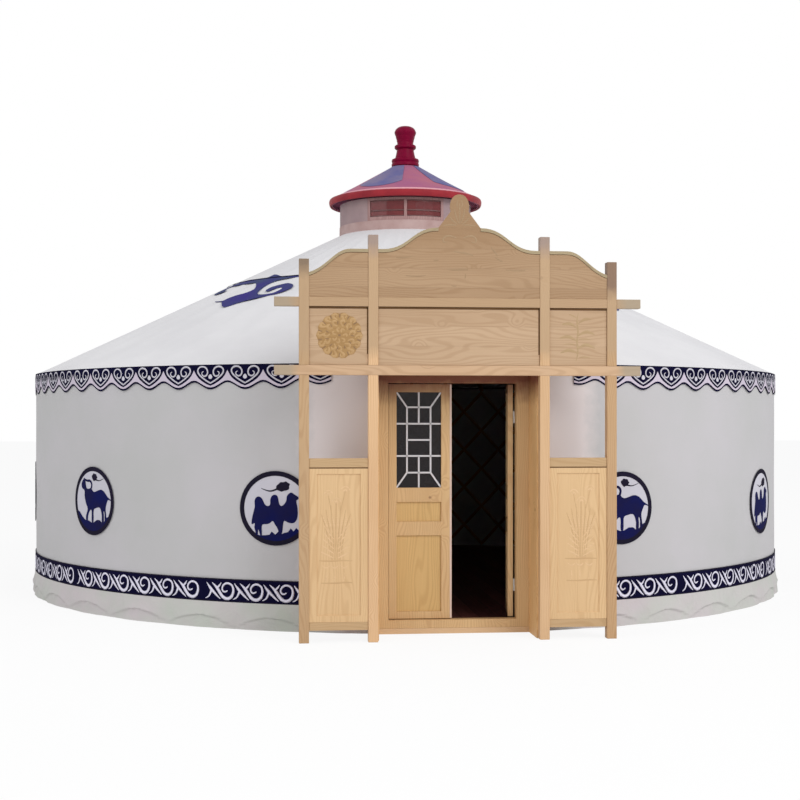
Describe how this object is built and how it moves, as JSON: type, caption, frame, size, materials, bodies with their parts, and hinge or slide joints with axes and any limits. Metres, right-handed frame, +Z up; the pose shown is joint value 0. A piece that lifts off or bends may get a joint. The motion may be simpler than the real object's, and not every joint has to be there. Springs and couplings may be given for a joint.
{
  "type": "yurt",
  "caption": "Round lattice-walled yurt with canvas covers, ornamental bands, a glazed crown lantern under a red-rimmed cap and a carved pine portal with a two-leaf glazed door",
  "frame": {"origin": "on the ground at the axis of the round room, on the underside of the floor", "axes": "+Z up, door faces -Y, +X to the right of somebody facing the door from outside"},
  "size_m": [7.0154, 7.3653, 4.4418],
  "materials": {
    "wall_canvas": "matt",
    "roof_canvas": "matt",
    "valance_cloth": "matt",
    "skirt_cloth": "matt",
    "clear_glass": "gloss",
    "cap_cloth": "matt",
    "rim_cloth": "satin",
    "red_finial": "gloss",
    "hinge_steel": "satin",
    "stained_wood": "satin",
    "frame_wood": "satin",
    "floor_wood": "satin",
    "pine": "satin"
  },
  "bodies": {
    "yurt": {"floor": "floor_wood", "lattice_outer_laths": "frame_wood", "lattice_inner_laths": "frame_wood", "wall_cover_front_right": "wall_canvas", "wall_cover_front_left": "wall_canvas", "wall_cover_back_right": "wall_canvas", "wall_cover_back_left": "wall_canvas", "roof_cover_front_right": "roof_canvas", "roof_cover_front_left": "roof_canvas", "roof_cover_back_right": "roof_canvas", "roof_cover_back_left": "roof_canvas", "roof_poles": "frame_wood", "crown": "frame_wood", "valance": "valance_cloth", "ground_skirt": "skirt_cloth", "lantern_base": "wall_canvas", "lantern_wall_right": "wall_canvas", "lantern_wall_left": "wall_canvas", "lantern_window_front": "stained_wood", "lantern_window_back": "stained_wood", "lantern_glass_front": "clear_glass", "lantern_glass_back": "clear_glass", "lantern_cap": "cap_cloth", "lantern_cap_rim": "rim_cloth", "finial": "red_finial", "door_frame": "pine", "jamb_hinges": "hinge_steel", "reveal_board_right": "pine", "reveal_board_left": "pine", "inner_post_right": "pine", "inner_post_left": "pine", "outer_post_right": "pine", "outer_post_left": "pine", "portal_beams": "pine", "frieze_panels": "pine", "pediment_centre": "pine", "pediment_sides": "pine", "pediment_crest": "pine", "bay_rails_right": "pine", "bay_rails_left": "pine", "bay_panel_right": "pine", "bay_panel_left": "pine"},
    "left_leaf": {"left_leaf_frame": "pine", "left_leaf_panels": "pine", "left_leaf_glass": "clear_glass", "left_leaf_hinges": "hinge_steel"},
    "right_leaf": {"right_leaf_frame": "pine", "right_leaf_panels": "pine", "right_leaf_glass": "clear_glass", "right_leaf_hinges": "hinge_steel"}
  },
  "joints": [
    {"name": "left_leaf_hinge", "type": "hinge", "parent": "yurt", "child": "left_leaf", "pos_m": [-0.4695, -3.401, 0.96], "axis": [0, 0, 1], "range_deg": [0, 110]},
    {"name": "right_leaf_hinge", "type": "hinge", "parent": "yurt", "child": "right_leaf", "pos_m": [0.4695, -3.401, 0.96], "axis": [0, 0, -1], "range_deg": [-98, 12]}
  ]
}
